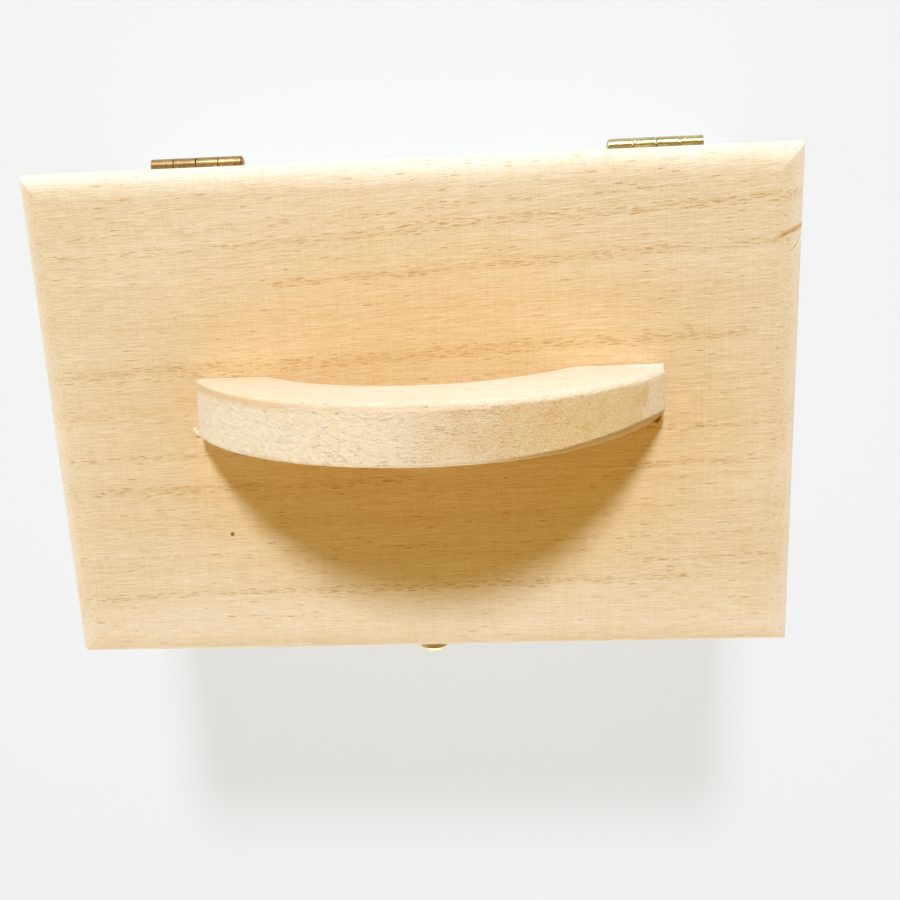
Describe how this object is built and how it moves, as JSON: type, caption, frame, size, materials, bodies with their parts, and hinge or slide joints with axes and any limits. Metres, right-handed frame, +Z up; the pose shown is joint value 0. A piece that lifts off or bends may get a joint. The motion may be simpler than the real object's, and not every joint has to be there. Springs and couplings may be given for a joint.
{
  "type": "lidded wooden box with carry handle",
  "caption": "Small unfinished wooden box with a hinged solid lid, a bow-shaped carry handle, brass butt hinges and a brass hook catch.",
  "frame": {"origin": "centre of the box's underside", "axes": "+X along the front to the right as seen from the front, +Y from the front to the hinges, +Z up"},
  "size_m": [0.16, 0.1121, 0.1086],
  "materials": {
    "wood": "raw sanded paulownia, unfinished",
    "lid_wood": "raw sanded paulownia with fine dark pore streaks",
    "handle_wood": "raw wood, fuzzy sawn end grain on the curved faces",
    "hinge_brass": "thin brass, slightly tarnished",
    "catch_brass": "polished brass",
    "screw_steel": "zinc plated"
  },
  "bodies": {
    "box": {"front_wall": "wood", "back_wall": "wood", "left_wall": "wood", "right_wall": "wood", "bottom_board": "wood", "hook_pivot_nail": "catch_brass", "left_hinge_box_leaf": "hinge_brass", "left_hinge_pin": "hinge_brass", "left_hinge_box_nail_left": "hinge_brass", "left_hinge_box_nail_right": "hinge_brass", "right_hinge_box_leaf": "hinge_brass", "right_hinge_pin": "hinge_brass", "right_hinge_box_nail_left": "hinge_brass", "right_hinge_box_nail_right": "hinge_brass"},
    "lid": {"lid_board": "lid_wood", "handle": "handle_wood", "handle_screw_left": "screw_steel", "handle_screw_right": "screw_steel", "catch_stud": "catch_brass", "left_hinge_lid_leaf": "hinge_brass", "left_hinge_lid_nail_left": "hinge_brass", "left_hinge_lid_nail_right": "hinge_brass", "right_hinge_lid_leaf": "hinge_brass", "right_hinge_lid_nail_left": "hinge_brass", "right_hinge_lid_nail_right": "hinge_brass"},
    "hook": {"catch_hook": "catch_brass"}
  },
  "joints": [
    {"name": "lid_hinge", "type": "hinge", "parent": "box", "child": "lid", "pos_m": [0, 0.054, 0.06615], "axis": [-1, 0, 0], "range_deg": [0, 180]},
    {"name": "hook_pivot", "type": "hinge", "parent": "box", "child": "hook", "pos_m": [0.001, -0.05405, 0.0498], "axis": [0, -1, 0], "range_deg": [-160, 180]}
  ]
}
